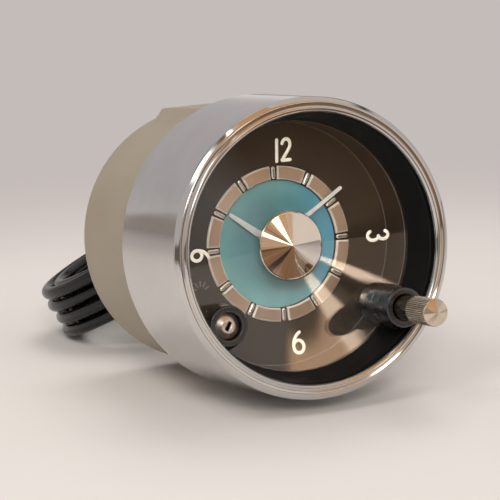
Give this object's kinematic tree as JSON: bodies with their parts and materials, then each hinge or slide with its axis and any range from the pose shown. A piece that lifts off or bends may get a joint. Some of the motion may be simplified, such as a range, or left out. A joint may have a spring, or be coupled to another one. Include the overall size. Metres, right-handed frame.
{
  "type": "car dashboard clock",
  "caption": "Hooded round dashboard clock: bright hood over a recessed dial with hands, knurled setting knob, slotted regulator, painted can behind and a coiled lead.",
  "frame": {"origin": "on the clock axis, in the plane of the hood's rear flange that seats on the dashboard panel", "axes": "+Y along the clock axis from the face to the back, +Z to twelve o'clock, +X to three o'clock; the dial looks along -Y"},
  "size_m": [0.0896, 0.1836, 0.0896],
  "materials": {
    "chrome": "mirror",
    "black_moulding": "matt",
    "clear_lens": "polished",
    "dial_brown": "satin",
    "blue_green_paint": "satin",
    "bright_plate": "polished",
    "hand_silver": "satin",
    "nickel": "polished",
    "brass": "satin",
    "steel": "satin",
    "putty_paint": "satin",
    "winding": "enamelled",
    "insulator": "matt",
    "black_rubber": "satin",
    "lamp_glass": "polished"
  },
  "bodies": {
    "clock_body": {"bezel_hood": "chrome", "hood_liner": "black_moulding", "lens": "clear_lens", "centre_cone": "chrome", "rim_spacer": "dial_brown", "dial_plate": "dial_brown", "centre_dish": "blue_green_paint", "hour_blocks": "bright_plate", "hour_batons": "chrome", "setting_spring": "steel", "dial_feet": "brass", "front_plate": "brass", "back_plate": "brass", "plate_pillars": "brass", "plate_screws": "steel", "wheel_studs": "steel", "hairspring": "steel", "magnet_core": "steel", "magnet_coil": "winding", "contact_block": "insulator", "contact_blade": "brass", "case_cup": "putty_paint", "case_screws": "steel", "lamp_holder": "nickel", "lamp_bulb": "lamp_glass", "rear_studs": "steel", "stud_washers": "nickel", "stud_nuts": "nickel", "cable_grommet": "black_rubber", "lead_terminal": "brass", "lead_stretch": "black_rubber", "lead_coil": "black_rubber", "connector_sleeve": "black_rubber", "connector_bullet": "brass"},
    "setting_slide": {"spring_collar": "brass"},
    "setting_control": {"setting_knob": "nickel", "setting_pinion": "brass", "setting_clip": "steel"},
    "minute_arbor": {"minute_hand": "hand_silver", "centre_arbor": "steel", "cannon_pinion": "brass", "centre_wheel": "brass"},
    "hour_pipe": {"hour_hand": "hand_silver", "hour_wheel": "brass"},
    "minute_work": {"minute_wheel": "brass"},
    "idler": {"setting_idler": "brass"},
    "third": {"third_wheel": "brass"},
    "ratchet": {"ratchet_wheel": "brass"},
    "balance": {"balance_wheel": "brass"},
    "regulator_control": {"regulator_spindle": "nickel", "regulator_pinion": "brass", "regulator_clip": "steel"},
    "regulator_arm": {"regulator_sector": "brass"}
  },
  "joints": [
    {"name": "setting_push", "type": "slide", "parent": "clock_body", "child": "setting_slide", "axis": [0, 1, 0], "range_m": [0, 0.0025], "stiffness_N_per_m": 300, "deforming": ["setting_spring"]},
    {"name": "setting_turn", "type": "hinge", "parent": "setting_slide", "child": "setting_control", "pos_m": [0.02612, -0.055, -0.02016], "axis": [0, 1, 0], "continuous": true},
    {"name": "minute_turn", "type": "hinge", "parent": "clock_body", "child": "minute_arbor", "pos_m": [0, 0, 0], "axis": [0, 1, 0], "continuous": true},
    {"name": "hour_turn", "type": "hinge", "parent": "clock_body", "child": "hour_pipe", "pos_m": [0, -0.005, 0], "axis": [0, 1, 0], "continuous": true},
    {"name": "minute_wheel_turn", "type": "hinge", "parent": "clock_body", "child": "minute_work", "pos_m": [0.00792, 0.0018, -0.00611], "axis": [0, 1, 0], "continuous": true},
    {"name": "idler_turn", "type": "hinge", "parent": "clock_body", "child": "idler", "pos_m": [0.0188, 0.0018, -0.01451], "axis": [0, 1, 0], "continuous": true},
    {"name": "third_wheel_turn", "type": "hinge", "parent": "clock_body", "child": "third", "pos_m": [-0.01299, 0.0185, 0.0075], "axis": [0, 1, 0], "continuous": true},
    {"name": "ratchet_turn", "type": "hinge", "parent": "clock_body", "child": "ratchet", "pos_m": [-0.02306, 0.0108, -0.00361], "axis": [0, 1, 0], "continuous": true},
    {"name": "balance_swing", "type": "hinge", "parent": "clock_body", "child": "balance", "pos_m": [-0.01425, 0.015, -0.011], "axis": [0, 1, 0], "range_deg": [-135, 135], "stiffness_Nm_per_rad": 0.00004},
    {"name": "regulator_turn", "type": "hinge", "parent": "clock_body", "child": "regulator_control", "pos_m": [-0.02612, -0.03, -0.02016], "axis": [0, 1, 0], "range_deg": [-60, 60]},
    {"name": "regulator_arm_turn", "type": "hinge", "parent": "clock_body", "child": "regulator_arm", "pos_m": [-0.01425, 0.0017, -0.011], "axis": [0, 1, 0], "range_deg": [-15.5, 15.5]}
  ],
  "couplings": [
    {"joint": "idler_turn", "follows": "setting_turn", "ratio": -0.48},
    {"joint": "minute_wheel_turn", "follows": "setting_turn", "ratio": 0.4},
    {"joint": "minute_turn", "follows": "setting_turn", "ratio": -1.2},
    {"joint": "hour_turn", "follows": "setting_turn", "ratio": -0.1},
    {"joint": "third_wheel_turn", "follows": "setting_turn", "ratio": 4.8},
    {"joint": "ratchet_turn", "follows": "setting_turn", "ratio": -19.2},
    {"joint": "regulator_arm_turn", "follows": "regulator_turn", "ratio": -0.25}
  ]
}
